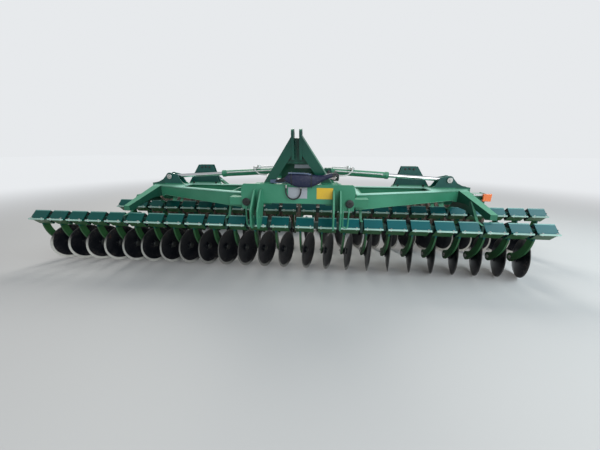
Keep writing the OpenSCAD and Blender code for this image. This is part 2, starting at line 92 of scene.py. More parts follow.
@dataclass(frozen=True)
class Layout:
    """Driving sizes of the machine, in metres, in the frame's own axes."""

    y_mid: float = 0.915
    discs: int = 24
    pitch: float = 0.25
    wing_gap: float = 0.016
    row_gap: float = 0.77
    row_z: float = 0.625
    disc_r: float = 0.23
    disc_back: float = 0.21
    disc_shift: float = 0.0325
    disc_angle: float = math.radians(17)
    dish_depth: float = 0.0458
    arm_mid: float = 0.0931
    arm_t: float = 0.02
    clamp_l: float = 0.2
    clamp_w: float = 0.125
    flange: float = 0.022
    shift: float = 0.065
    hinge_x: float = 0.545
    hinge_z: float = 0.91
    beam_top: float = 1.1
    beam_front: float = -0.15
    girder_top: float = 0.985
    girder_h: float = 0.175
    girder_h_out: float = 0.12
    girder_in: float = 0.63
    girder_end: float = 1.89
    hitch_span: float = 0.825
    roller_y: float = 1.8
    roller_r: float = 0.29
    roller_x0: float = 0.13
    roller_l: float = 2.85

    def y(self, machine_y: float) -> float:
        """Place fore and aft in the frame, from the distance behind the front row."""
        return machine_y - self.y_mid

    def x(self, side: Side, frame_x: float) -> float:
        """Place across in the frame, from the distance beside the centre frame's middle."""
        return self.shift + side.value * frame_x

    @property
    def rows(self) -> tuple[Row, Row]:
        """The front and the rear row."""
        return (Row("front", self.y(0.0), -1, 13), Row("rear", self.y(self.row_gap), 1, 11))

    @property
    def face(self) -> float:
        """Front face of the beam, in the frame."""
        return self.y(self.beam_front)

    def clamp_x(self, row: Row, index: int) -> float:
        """Middle of a clamp, counted from 0 at the left end of its row."""
        apart = -self.wing_gap if index < row.left_count else self.wing_gap
        return (index + 0.5 - row.left_count) * self.pitch + apart

    def disc_x(self, row: Row, index: int) -> float:
        """Middle of a disc's rim, counted as its clamp."""
        return self.clamp_x(row, index) - row.sign * self.disc_shift

    @property
    def clamp_tip(self) -> float:
        """Half diagonal of a clamp's square section."""
        return self.clamp_w / math.sqrt(2)


SIZE = Layout()


# Shader expressions


class Val:
    """A number on a socket, which Python's operators turn into Math nodes."""

    def __init__(self, graph: Graph, socket: Socket) -> None:
        """Wraps a socket of the graph."""
        self.graph = graph
        self.socket = socket

    def math(self, operation: str, *others: Val | float) -> Val:
        """Result of a Math node on this value and the others."""
        node = self.graph.node("Math", {"operation": operation}, dict(enumerate((self, *others))))
        return Val(self.graph, node.outputs[0])

    def __add__(self, other: Val | float) -> Val:
        """Sum."""
        return self.math("ADD", other)

    def __sub__(self, other: Val | float) -> Val:
        """Difference."""
        return self.math("SUBTRACT", other)

    def __mul__(self, other: Val | float) -> Val:
        """Product."""
        return self.math("MULTIPLY", other)

    def __rsub__(self, other: float) -> Val:
        """Difference from a plain number."""
        node = self.graph.node("Math", {"operation": "SUBTRACT"}, {0: other, 1: self})
        return Val(self.graph, node.outputs[0])

    __radd__ = __add__

    def size(self) -> Val:
        """Absolute value."""
        return self.math("ABSOLUTE")

    def above(self, limit: float) -> Val:
        """1 where the value is over the limit."""
        return self.math("GREATER_THAN", limit)

    def below(self, limit: float) -> Val:
        """1 where the value is under the limit."""
        return self.math("LESS_THAN", limit)

    def clamped(self) -> Val:
        """The value held between 0 and 1."""
        return self.math("MINIMUM", 1.0).math("MAXIMUM", 0.0)

    def ramp(self, low: float, high: float) -> Val:
        """Smooth step of the value.

        Args:
            low: Value that gives 0.
            high: Value that gives 1.

        Returns:
            The step, from 0 to 1.
        """
        node = self.graph.node(
            "MapRange", {"interpolation_type": "SMOOTHSTEP"}, {"Value": self, "From Min": low, "From Max": high},
        )
        return Val(self.graph, node.outputs[0])


class Graph:
    """Node tree of one material, with its Principled shader."""

    def __init__(self, name: str) -> None:
        """Makes the material.

        Args:
            name: The material's name.
        """
        self.material = bpy.data.materials.new(name)
        self.material.use_nodes = True
        self.tree = self.material.node_tree
        self.shader = self.tree.nodes["Principled BSDF"]
        coords = self.node("TexCoord")
        self.place = coords.outputs["Object"]
        split = self.node("SeparateXYZ", sockets={0: self.place})
        self.x, self.y, self.z = (Val(self, s) for s in split.outputs)
        facing = self.node("SeparateXYZ", sockets={0: coords.outputs["Normal"]})
        self.face_x, self.face_y, self.up = (Val(self, s) for s in facing.outputs)

    def node(self, kind: str, settings: dict | None = None, sockets: dict | None = None) -> bpy.types.Node:
        """Adds a node.

        Args:
            kind: The node's type, without its ShaderNode prefix.
            settings: Properties that are set first.
            sockets: Values or links for its inputs, by name or number.

        Returns:
            The new node.
        """
        node = self.tree.nodes.new("ShaderNode" + kind)
        for key, value in (settings or {}).items():
            setattr(node, key, value)
        for key, value in (sockets or {}).items():
            self.feed(node.inputs[key], value)
        return node

    def feed(self, socket: Socket, value: Val | Socket | float | Colour) -> None:
        """Links a value to a socket, or sets it there.

        Args:
            socket: The input.
            value: What feeds it.
        """
        if isinstance(value, Val):
            self.tree.links.new(value.socket, socket)
        elif isinstance(value, Socket):
            self.tree.links.new(value, socket)
        else:
            socket.default_value = value

    def noise(self, scale: float, detail: float, roughness: float) -> Val:
        """Noise over the piece's own coordinates.

        Args:
            scale: Lumps per metre.
            detail: Octaves.
            roughness: Weight of the fine octaves.

        Returns:
            A value of about 0 to 1.
        """
        sockets = {"Vector": self.place, "Scale": scale, "Detail": detail, "Roughness": roughness}
        return Val(self, self.node("TexNoise", sockets=sockets).outputs[0])

    def mix(self, factor: Val | float, low: object, high: object) -> Socket:
        """Colour between low and high."""
        node = self.node("Mix", {"data_type": "RGBA"}, {0: factor, 6: low, 7: high})
        return node.outputs[2]

    def bump(self, height: Val, distance: float, strength: float) -> Socket:
        """Normal of a bump of that depth in metres."""
        node = self.node("Bump", sockets={"Height": height, "Distance": distance, "Strength": strength})
        return node.outputs[0]

    def finish(self, **inputs: object) -> Material:
        """Sets the shader's sockets.

        Args:
            inputs: Values by the socket's name, with _ for a space.

        Returns:
            The finished material.
        """
        for key, value in inputs.items():
            self.feed(self.shader.inputs[key.replace("_", " ")], value)
        return self.material


@dataclass(frozen=True)
class Paint:
    """Machine paint with dust on its upper faces, faded patches, chips and soil near the ground.

    Heights in the frame switch the marks on: soil_top, shade_above (painted shade on the tower) and the height of the
    girder's lip, along which a pale painted highlight runs.
    """

    name: str
    deep: Colour
    faded: Colour
    # Colour of the painted highlight that lightens upward faces, standing for light from above.
    upper: Colour
    soil_top: float = 0.0
    clamps: bool = False
    shade_above: float = 0.0
    # Colour of the painted shade on faces above shade_above that don't face upward.
    shade: Colour = (0.001, 0.050, 0.054, 1)
    dust: float = 0.16
    # Height of the girder's lip, along which a pale painted highlight runs; 0 for none.
    highlight_lip_z: float = 0.0
    # Whether painted shade darkens the row tubes where they show in the gaps between the clamps.
    painted_tube_shade: bool = False
    gloss: float = 0.35

    def make(self) -> Material:
        """Builds the paint.

        Returns:
            Its material.
        """
        g = Graph(self.name)
        patch = g.noise(1.7, 5.0, 0.6)
        grain = g.noise(38.0, 6.0, 0.7)
        flecks = g.noise(160.0, 3.0, 0.6)
        colour = g.mix(patch.ramp(0.3, 0.72), self.deep, self.faded)
        # Upward faces mixed towards that colour: a painted highlight for light from above.
        colour = g.mix(g.up.ramp(0.25, 0.95) * 0.6, colour, self.upper)
        dust = g.up.ramp(-0.1, 0.9) * self.dust + self.dust * 0.1
        dust = (dust * (grain * 0.9 + patch * 0.6)).clamped()
        colour = g.mix(dust, colour, (0.40, 0.42, 0.36, 1))
        chips = (grain * 0.55 + flecks * 0.45).above(0.672)
        colour = g.mix(chips * 0.8, colour, (0.085, 0.055, 0.04, 1))
        rough = dust * 0.5 + patch * 0.12 + 0.27
        height = flecks * 0.35 + grain * 0.4 - chips * 0.5
        if self.soil_top > 0:
            soil = ((1 - g.z.ramp(0.04, self.soil_top)) * 1.25 * grain.ramp(0.3, 0.62)).clamped()
            colour = g.mix(soil * 0.85, colour, (0.165, 0.13, 0.095, 1))
            rough = rough + soil * 0.4
            height = height + soil * 0.8
        if self.shade_above > 0:
            # Painted shade on faces above that height which don't face upward (tower, depth tower, rod bracket).
            shade = g.z.ramp(self.shade_above, self.shade_above + 0.02) * (1 - g.up.ramp(0.3, 0.8)) * 0.84
            colour = g.mix(shade, colour, self.shade)
            # More painted shade higher up, from 1.34 m to 1.60 m, on the tower's ears.
            colour = g.mix(g.z.ramp(1.34, 1.60) * 0.5, colour, (0.001, 0.018, 0.022, 1))
        if self.highlight_lip_z > 0:
            colour = self.girder_painted_light(g, colour, patch)
        if self.painted_tube_shade:
            # Painted shade over the row tubes, seen in the gaps between the clamps.
            tubes = self.both_rows(g, lambda away, rise: away.below(SIZE.clamp_w / 2) * rise.below(SIZE.clamp_w / 2))
            colour = g.mix(tubes * 0.85, colour, (0.004, 0.016, 0.020, 1))
        if self.clamps:
            colour, rubber = self.clamp_marks_and_painted_light(g, colour, patch)
            rough = rough + rubber * 0.3
        return g.finish(
            Base_Color=colour, Roughness=rough.clamped(), Metallic=0.0, Normal=g.bump(height, 0.0006, 0.45),
            Coat_Weight=0.08, Coat_Roughness=0.2, Specular_IOR_Level=self.gloss,
        )

    def both_rows(self, g: Graph, mask: Callable[[Val, Val], Val]) -> Val:
        """1 where the mask of either row holds, from how far behind or before and over or under its tube."""
        rise = (g.z - SIZE.row_z).size()
        return sum(mask((g.y - row.y).size(), rise) for row in SIZE.rows).clamped()

    def girder_painted_light(self, g: Graph, colour: Ink, patch: Val) -> Socket:
        """Adds painted light: a pale painted highlight along the lip of the girder's top plate, painted shade that
        darkens the outer arm, and dark painted shade on its inner flank.

        Args:
            g: Graph of the paint.
            colour: Paint so far.
            patch: Coarse noise.

        Returns:
            The paint with its marks.
        """
        beside = (g.x - SIZE.shift).size()
        # Pale painted highlight along the lip of the top plate, weaker on the outer arm.
        lip = (g.z - (self.highlight_lip_z - 0.0055)).size().below(0.0066)
        edge = lip * (1 - beside.ramp(1.55, 1.72) * 0.75) * (patch * 0.5 + 0.5)
        colour = g.mix(edge.clamped(), colour, (0.42, 0.74, 0.62, 1))
        over_rows = g.z.above(0.743)
        # Dark painted shade on the outer arm's inner flank.
        inner = ((g.x - SIZE.shift) * g.face_x * -1.0).above(0.95) * beside.above(SIZE.girder_end - 0.02)
        colour = g.mix(inner * over_rows * 0.8, colour, (0.002, 0.022, 0.016, 1))
        # Painted shade in patches on the outer arm's faces that don't face upward.
        arm = beside.above(SIZE.girder_end + 0.015) * over_rows * (1 - g.up.ramp(0.75, 0.95))
        return g.mix(arm * patch.ramp(0.25, 0.6) * 0.45, colour, (0.002, 0.052, 0.032, 1))

    def clamp_marks_and_painted_light(self, g: Graph, colour: Ink, patch: Val) -> tuple[Socket, Val]:
        """Adds painted light to the clamps (greener, darker painted shade towards the left, warm painted bounce light
        on undersides, pale painted highlights on flange edges), their pale crests and the rubber cords.

        Args:
            g: Graph of the paint.
            colour: Paint so far.
            patch: Coarse noise.

        Returns:
            The paint with its marks, and the mask of the rubber.
        """
        tip = SIZE.clamp_tip
        # Greener, darker clamps towards the left: painted shade.
        colour = g.mix((1 - g.x.ramp(-2.0, 1.0)) * 0.6, colour, (0.001, 0.070, 0.046, 1))
        # Warm olive on undersides and on faces low on the clamps: painted bounce light from the ground.
        below = ((1 - g.z.ramp(0.505, 0.535)) + (g.up * -1.0).ramp(0.2, 0.7)).clamped()
        colour = g.mix(below * 0.75, colour, (0.034, 0.098, 0.024, 1))
        # Pale painted highlight along the flange edges.
        strip = tip + SIZE.flange
        flange = self.both_rows(g, lambda away, rise: away.above(strip - 0.011) * away.below(strip + 0.003))
        flange_highlight = flange * (g.z - SIZE.row_z).size().below(0.0085) * (patch * 0.8 + 0.45)
        colour = g.mix(flange_highlight.clamped(), colour, (0.46, 0.68, 0.60, 1))
        crest = (g.z - (SIZE.row_z + tip - 0.004)).size().below(0.005) * (patch * 0.8 + 0.2)
        colour = g.mix(crest.clamped() * 0.8, colour, (0.30, 0.56, 0.50, 1))
        hollow = (SIZE.clamp_w - 0.016) / math.sqrt(2) + 0.0003
        rubber = self.both_rows(g, lambda away, rise: (away + rise).below(hollow))
        return g.mix(rubber, colour, (0.016, 0.016, 0.017, 1)), rubber


@dataclass(frozen=True)
class DiscSteel:
    """Dark rolled disc with turning marks, a bare rim that also carries a painted highlight, and dried soil."""

    row: Row
    side: Side

    def make(self) -> Material:
        """Builds the steel for one row's discs on one wing, which repeat at the pitch.

        Returns:
            Its material.
        """
        g = Graph(f"disc_steel_{self.row.name}_{self.side.word}")
        first = SIZE.disc_x(self.row, 0 if self.side is Side.LEFT else SIZE.discs - 1)
        across = (g.x - (first - 30.5 * SIZE.pitch)).math("MODULO", SIZE.pitch) - SIZE.pitch / 2
        back = g.y - (self.row.y + SIZE.disc_back)
        up = g.z - SIZE.disc_r
        along = across * math.cos(SIZE.disc_angle) + back * (self.row.sign * math.sin(SIZE.disc_angle))
        radius = (across * across + back * back + up * up - along * along).math("MAXIMUM", 0.0).math("SQRT")
        grain = g.noise(55.0, 6.0, 0.7)
        patch = g.noise(9.0, 4.0, 0.6)
        turned = (radius * 900.0).math("SINE") * 0.5 + 0.5
        colour = g.mix(patch.ramp(0.35, 0.7), (0.006, 0.008, 0.014, 1), (0.019, 0.021, 0.028, 1))
        rim = radius.ramp(0.209, 0.226) * (patch * 0.6 + 0.35)
        colour = g.mix(rim.clamped() * 0.5, colour, (0.20, 0.20, 0.19, 1))
        # The pale crescent is partly bare steel and partly a painted highlight: it sits on the hollow face's lower
        # front, where light falls, and is brighter on the outer discs.
        hollow = g.face_x * (-self.row.sign * math.cos(SIZE.disc_angle)) - g.face_y * math.sin(SIZE.disc_angle)
        leading = (back * -0.8 - up * 0.6).ramp(0.03, 0.15)
        outer = g.x.size().ramp(0.6, 2.2) * 0.65 + 0.35
        bare = (radius.ramp(0.197, 0.204) * leading * hollow.ramp(0.1, 0.4) * (patch * 0.8 + 0.6)).clamped() * outer
        colour = g.mix(bare, colour, (0.74, 0.74, 0.69, 1))
        soil = (radius.ramp(0.11, 0.215) * grain.ramp(0.45, 0.68) * patch.ramp(0.35, 0.6) * (1 - bare)).clamped()
        colour = g.mix(soil * 0.6, colour, (0.13, 0.11, 0.095, 1))
        rust = (patch.ramp(0.62, 0.72) * grain.ramp(0.5, 0.6) * (1 - bare)).clamped()
        colour = g.mix(rust * 0.6, colour, (0.14, 0.062, 0.03, 1))
        rough = soil * 0.4 + rust * 0.3 + patch * 0.2 + 0.26
        return g.finish(
            Base_Color=colour, Roughness=rough.clamped(), Metallic=(0.6 - soil * 0.5 - bare * 0.45).clamped(),
            Normal=g.bump(turned * 0.25 + grain * 0.8 + soil * 0.7, 0.0006, 0.5),
        )


@dataclass(frozen=True)
class Soiled:
    """Roller rubber, dark in its valleys and brown with dried soil."""

    def make(self) -> Material:
        """Builds the roller's rubber.

        Returns:
            Its material.
        """
        g = Graph("roller_soiled")
        clods = g.noise(26.0, 7.0, 0.72)
        patch = g.noise(4.0, 4.0, 0.6)
        colour = g.mix(patch.ramp(0.3, 0.7), (0.035, 0.026, 0.021, 1), (0.075, 0.055, 0.042, 1))
        soil = (clods.ramp(0.42, 0.66) * (patch * 0.7 + 0.35)).clamped()
        colour = g.mix(soil, colour, (0.19, 0.135, 0.095, 1))
        return g.finish(Base_Color=colour, Roughness=(soil * 0.25 + 0.68).clamped(), Normal=g.bump(clods, 0.006, 0.6))


@dataclass(frozen=True)
class Plain:
    """Metal, rubber or plastic with grain, smears and a little dust."""

    name: str
    colour: Colour
    roughness: float
    metallic: float = 0.0
    dirt: Colour = (0.20, 0.18, 0.15, 1)
    dirt_share: float = 0.25
    coat: float = 0.0

    def make(self) -> Material:
        """Builds the finish.

        Returns:
            Its material.
        """
        g = Graph(self.name)
        grain = g.noise(90.0, 5.0, 0.65)
        patch = g.noise(12.0, 4.0, 0.6)
        dirt = (grain.ramp(0.45, 0.7) * patch.ramp(0.35, 0.65) * self.dirt_share * 2.0).clamped()
        rough = patch * 0.1 + dirt * 0.4 + (self.roughness - 0.05)
        return g.finish(
            Base_Color=g.mix(dirt, self.colour, self.dirt), Roughness=rough.clamped(),
            Metallic=(self.metallic - dirt * self.metallic).clamped(), Coat_Weight=self.coat,
            Normal=g.bump(grain, 0.0003, 0.3),
        )


class Finishes:
    """All finishes of the machine, made once."""

    def __init__(self) -> None:
        """Makes the materials."""
        deep, faded = (0.022, 0.180, 0.096, 1), (0.042, 0.240, 0.140, 1)
        self.frame = Paint(
            "green_frame", (0.027, 0.202, 0.111, 1), (0.050, 0.268, 0.160, 1), (0.06, 0.34, 0.20, 1),
            shade_above=1.105, shade=(0.001, 0.046, 0.034, 1),
        ).make()
        self.wing = Paint(
            "green_wing", deep, faded, (0.055, 0.32, 0.19, 1), soil_top=0.32, shade_above=0.988,
            highlight_lip_z=SIZE.girder_top, painted_tube_shade=True,
        ).make()
        # The clamps' copy of the green paint is teal, bluest on upward faces: painted sky reflection.
        self.arm = Paint(
            "green_arm", (0.001, 0.058, 0.052, 1), (0.001, 0.086, 0.090, 1), (0.001, 0.118, 0.142, 1),
            soil_top=0.34, clamps=True, dust=0.02, gloss=0.18,
        ).make()
        self.barrel = Paint("green_barrel", deep, faded, (0.03, 0.24, 0.12, 1)).make()
        # Near-black green for the sheet behind the tower's legs: painted shade.
        self.shaded = Paint(
            "green_shaded", (0.003, 0.040, 0.022, 1), (0.006, 0.060, 0.034, 1), (0.02, 0.14, 0.08, 1),
            dust=0.06, gloss=0.2,
        ).make()
        self.discs = {(row.name, side): DiscSteel(row, side).make() for row in SIZE.rows for side in Side}
        self.roller = Soiled().make()
        self.chrome = Plain("rod_chrome", (0.82, 0.83, 0.84, 1), 0.14, 1.0, dirt_share=0.1).make()
        self.zinc = Plain("zinc_plated", (0.50, 0.50, 0.48, 1), 0.38, 0.9, dirt_share=0.3).make()
        self.bolt = Plain("dark_bolt", (0.030, 0.036, 0.036, 1), 0.45, 0.5, (0.11, 0.075, 0.05, 1), 0.2).make()
        self.slate = Plain("slate_tube", (0.085, 0.125, 0.20, 1), 0.4, dirt_share=0.1).make()
        self.rubber = Plain("hose_rubber", (0.012, 0.012, 0.016, 1), 0.52, dirt_share=0.12).make()
        self.sleeve = Plain("hose_sleeve", (0.003, 0.008, 0.042, 1), 0.45, dirt_share=0.12).make()
        self.pipe = Plain("pale_pipe", (0.62, 0.64, 0.62, 1), 0.35, 0.15, dirt_share=0.15).make()
        self.grey_plate = Plain("bare_grey_plate", (0.36, 0.39, 0.43, 1), 0.4, dirt_share=0.15).make()
        self.yellow_plate = Plain("bare_yellow_plate", (0.72, 0.46, 0.03, 1), 0.4, dirt_share=0.15).make()
        self.amber = Plain("amber_reflector", (0.90, 0.19, 0.03, 1), 0.18, dirt_share=0.08, coat=1.0).make()


# Mesh making


def placed(name: str, data: bpy.types.ID) -> bpy.types.Object:
    """Puts a new object into the scene.

    Args:
        name: The object's name.
        data: Its mesh, curve, camera or light.

    Returns:
        The object.
    """
    thing = bpy.data.objects.new(name, data)
    bpy.context.scene.collection.objects.link(thing)
    return thing


def circle(middle: Vector, u: Vector, v: Vector, sides: int) -> list[Vector]:
    """Points around the middle, from u by way of v."""
    turns = (math.tau * k / sides for k in range(sides))
    return [middle + (u * math.cos(a) + v * math.sin(a)) for a in turns]


def rounded_route(corners: list[Point], bend: float, steps: int = 5) -> list[Vector]:
    """Makes a route through corners, with each inner corner rounded.

    Args:
        corners: Corner points in order.
        bend: Radius of the bends.
        steps: Points on each bend.

    Returns:
        Points along the route.
    """
    route = [Vector(corners[0])]
    for a, b, c in zip(*(map(Vector, corners[k:]) for k in range(3))):
        reach = min(bend, (a - b).length * 0.45, (c - b).length * 0.45)
        start, end = b + (a - b).normalized() * reach, b + (c - b).normalized() * reach
        for k in range(steps + 1):
            t = k / steps
            route.append(start * (1 - t) ** 2 + b * (2 * t * (1 - t)) + end * t * t)
    return [*route, Vector(corners[-1])]


@dataclass
class Piece:
    """One piece of the scene: a mesh that is filled by methods and then rides on a body."""

    name: str
    material: Material
    slot: Slot = Slot.FRAME
    body: str = "centre"
    mesh: bmesh.types.BMesh = field(default_factory=bmesh.new)

    def skin(self, rings: list[list[Vector]]) -> None:
        """Adds a closed form.

        Args:
            rings: Sections in order, each with as many points.
        """
        made = [[self.mesh.verts.new(p) for p in ring] for ring in rings]
        for a, b in zip(made, made[1:]):
            for k in range(len(a)):
                self.mesh.faces.new((a[k], a[(k + 1) % len(a)], b[(k + 1) % len(a)], b[k]))
        self.mesh.faces.new(list(reversed(made[0])))
        self.mesh.faces.new(made[-1])

    def turned(self, base: Point, axis: Point, profile: list[tuple[float, float]], sides: int = 16) -> None:
        """Adds a turned form.

        Args:
            base: Point on the axis where the profile's height is 0.
            axis: Direction of the axis.
            profile: Radius and height pairs from one end to the other.
            sides: Sides of the form, 6 for a hexagon.
        """
        w = Vector(axis).normalized()
        u = w.orthogonal().normalized()
        v = w.cross(u)
        self.skin([circle(Vector(base) + w * height, u * radius, v * radius, sides) for radius, height in profile])

    def bolt(self, base: Point, axis: Point, size: float) -> None:
        """Adds a hexagon head with its washer, for a thread of that size, on its seat."""
        self.turned(base, axis, [(size * 1.05, -0.0005), (size * 1.05, size * 0.14), (size, size * 0.18)])
        self.turned(base, axis, [(size * 0.9, size * 0.16), (size * 0.9, size * 0.72), (size * 0.78, size * 0.82)], 6)

    def sweep(self, points: list[Point], radius: float, sides: int = 6) -> None:
        """Adds a round tube or a weld bead, with its section carried along without twist.

        Args:
            points: Points of its middle line.
            radius: Radius of the tube.
            sides: Sides of its section.
        """
        route = [Vector(p) for p in points]
        u = (route[1] - route[0]).normalized().orthogonal().normalized()
        rings = []
        for i, middle in enumerate(route):
            ahead = (route[min(i + 1, len(route) - 1)] - route[max(i - 1, 0)]).normalized()
            u = (u - ahead * u.dot(ahead)).normalized()
            rings.append(circle(middle, u * radius, ahead.cross(u) * radius, sides))
        self.skin(rings)

    def bent(self, corners: list[Point], bend: float, radius: float, sides: int = 10) -> None:
        """Adds a round tube through corners, bent at each."""
        self.sweep(rounded_route(corners, bend), radius, sides)

    def plate(self, outline: list[Point], thickness: Point) -> None:
        """Adds a flat plate from its outline over the thickness, a vector."""
        base = [Vector(p) for p in outline]
        self.skin([base, [p + Vector(thickness) for p in base]])

    def panel(self, x0: float, x1: float, z0: float, z1: float, y: float, thickness: float) -> None:
        """Adds an upright rectangular plate that faces forward at y."""
        self.plate([(x0, y, z0), (x1, y, z0), (x1, y, z1), (x0, y, z1)], (0, thickness, 0))

    def shaded_mesh(self, smooth: float) -> bpy.types.Mesh:
        """Turns what was added into mesh data.

        Args:
            smooth: Angle in degrees under which faces shade smoothly.

        Returns:
            The mesh with its material.
        """
        bmesh.ops.recalc_face_normals(self.mesh, faces=self.mesh.faces)
        data = bpy.data.meshes.new(self.name)
        self.mesh.to_mesh(data)
        self.mesh.free()
        data.materials.append(self.material)
        data.polygons.foreach_set("use_smooth", [True] * len(data.polygons))
        data.set_sharp_from_angle(angle=math.radians(smooth))
        return data

    def done(self, bevel: float = 0.0, smooth: float = 40.0) -> bpy.types.Object:
        """Turns the mesh into an object that rides on its body.

        Args:
            bevel: Width of the rounded edges, or 0.
            smooth: Angle in degrees under which faces shade smoothly.

        Returns:
            The object.
        """
        data = self.shaded_mesh(smooth)
        thing = placed(self.name, data)
        if bevel > 0:
            rounding = thing.modifiers.new("rounding", "BEVEL")
            rounding.width = bevel
            rounding.segments = 2
            rounding.limit_method = "ANGLE"
        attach(thing, self.body)
        LOG.info("piece %s on %s, %d faces", self.name, self.body, len(data.polygons))
        return thing


# The studio


@dataclass
class Studio:
    """Camera, floor and lights."""

    image: tuple[int, int] = (600, 450)
    focal_pixels: float = 246.92
    place: Point = (0.332, -3.611, 1.436)
    tilt: Point = (73.209, -0.215, 5.356)
    backdrop: Colour = (0.80, 0.82, 0.84, 1)

    def build(self) -> None:
        """Sets the camera, the floor, the backdrop and the lights."""
        self.camera()
        self.floor()
        self.world()
        self.lamp("key", (-1.2, 5.2, 6.6), 5.0, 560.0, (1.0, 0.97, 0.92))
        self.lamp("fill", (3.6, -7.0, 4.4), 6.0, 330.0, (0.93, 0.97, 1.0))
        self.lamp("side", (6.4, -1.4, 4.4), 4.0, 230.0, (0.80, 0.94, 1.0))
        bpy.context.scene.view_settings.view_transform = "Standard"

    def camera(self) -> None:
        """Makes the camera at the photograph's angle."""
        data = bpy.data.cameras.new("camera")
        data.sensor_width = 36.0
        data.lens = self.focal_pixels / self.image[0] * data.sensor_width
        data.clip_end = 200.0
        thing = placed("camera", data)
        thing.location = self.place
        thing.rotation_euler = tuple(math.radians(a) for a in self.tilt)
        bpy.context.scene.camera = thing

    def floor(self) -> None:
        """Makes the plain pale floor, which blends into the backdrop far from the machine."""
        data = bpy.data.meshes.new("floor")
        reach, low = 60.0, -0.001
        corners = [(-reach, -reach, low), (reach, -reach, low), (reach, reach, low), (-reach, reach, low)]
        data.from_pydata(corners, [], [(0, 1, 2, 3)])
        thing = placed("floor", data)
        g = Graph("floor_pale")
        far = (g.x * g.x + g.y * g.y).math("SQRT").ramp(4.5, 13.0)
        data.materials.append(g.finish(
            Base_Color=g.mix(far, (0.52, 0.52, 0.515, 1), (0.0, 0.0, 0.0, 1)), Roughness=0.9,
            Emission_Color=g.mix(far, (0.0, 0.0, 0.0, 1), self.backdrop), Emission_Strength=1.0,
            Specular_IOR_Level=0.1,
        ))

    def world(self) -> None:
        """Sets an even pale world, which the camera sees as the backdrop."""
        world = bpy.data.worlds.new("studio")
        world.use_nodes = True
        bpy.context.scene.world = world
        tree = world.node_tree
        background = tree.nodes["Background"]
        background.inputs["Color"].default_value = (0.93, 0.96, 1.0, 1)
        background.inputs["Strength"].default_value = 0.45
        seen = tree.nodes.new("ShaderNodeBackground")
        seen.inputs["Color"].default_value = self.backdrop
        path = tree.nodes.new("ShaderNodeLightPath")
        choice = tree.nodes.new("ShaderNodeMixShader")
        tree.links.new(path.outputs["Is Camera Ray"], choice.inputs[0])
        tree.links.new(background.outputs[0], choice.inputs[1])
        tree.links.new(seen.outputs[0], choice.inputs[2])
        tree.links.new(choice.outputs[0], tree.nodes["World Output"].inputs[0])

    def lamp(self, name: str, place: Point, width: float, watts: float, colour: Point) -> None:
        """Makes a square area lamp that looks at the machine.

        Args:
            name: The lamp's name.
            place: Where it stands.
            width: Edge length.
            watts: Power.
            colour: Its colour.
        """
        data = bpy.data.lights.new(name, "AREA")
        data.shape = "SQUARE"
        data.size = width
        data.energy = watts
        data.color = colour
        thing = placed(name, data)
        thing.location = place
        look = Vector((0.0, 0.0, 0.6)) - Vector(place)
        thing.rotation_euler = look.to_track_quat("-Z", "Y").to_euler()


# The machine's sub-assemblies


@dataclass
class LoopHose:
    """Free hose in front of the beam, from one fitting to the next."""

    finishes: Finishes
    diameter: float = 0.016
    route_mm: tuple[Point, ...] = (
        (-45, -176, 1098), (-45, -176, 1080), (-46, -178, 1060), (-48, -180, 1040), (-47, -181, 1020),
        (-42, -182, 1000), (-32, -183, 981), (-17, -184, 966), (3, -185, 956), (26, -185, 951),
        (49, -185, 954), (70, -184, 964), (87, -183, 980), (98, -182, 1000), (104, -180, 1022),
        (106, -178, 1048), (105, -176, 1076), (105, -176, 1098),
    )

    def build(self) -> None:
        """Makes the hose with its crimped sleeves and the nuts over them."""
        points = [(x / 1000, SIZE.y(y / 1000), z / 1000) for x, y, z in self.route_mm]
        data = bpy.data.curves.new("loop_hose", "CURVE")
        data.dimensions = "3D"
        data.bevel_depth = self.diameter / 2
        data.bevel_resolution = 4
        spline = data.splines.new("POLY")
        spline.points.add(len(points) - 1)
        for point, place in zip(spline.points, points):
            point.co = (*place, 1)
        data.materials.append(self.finishes.rubber)
        hose = placed("loop_hose", data)
        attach(hose, "centre")
        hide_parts("hydraulic_hose")
        sleeves = Piece("loop_hose_sleeves", self.finishes.zinc, Slot.CHROME)
        for end, inner in ((points[0], points[2]), (points[-1], points[-3])):
            axis = Vector(inner) - Vector(end)
            sleeves.turned(end, axis, [(0.0105, 0.0), (0.0105, 0.030), (0.0085, 0.034)])
            sleeves.turned((end[0], end[1], end[2] + 0.001), (0, 0, 1), [(0.0155, 0.0), (0.0155, 0.011)], 6)
        cuffs = sleeves.done()
        length = sum(math.dist(a, b) for a, b in zip(points, points[1:]))
        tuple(points[0])


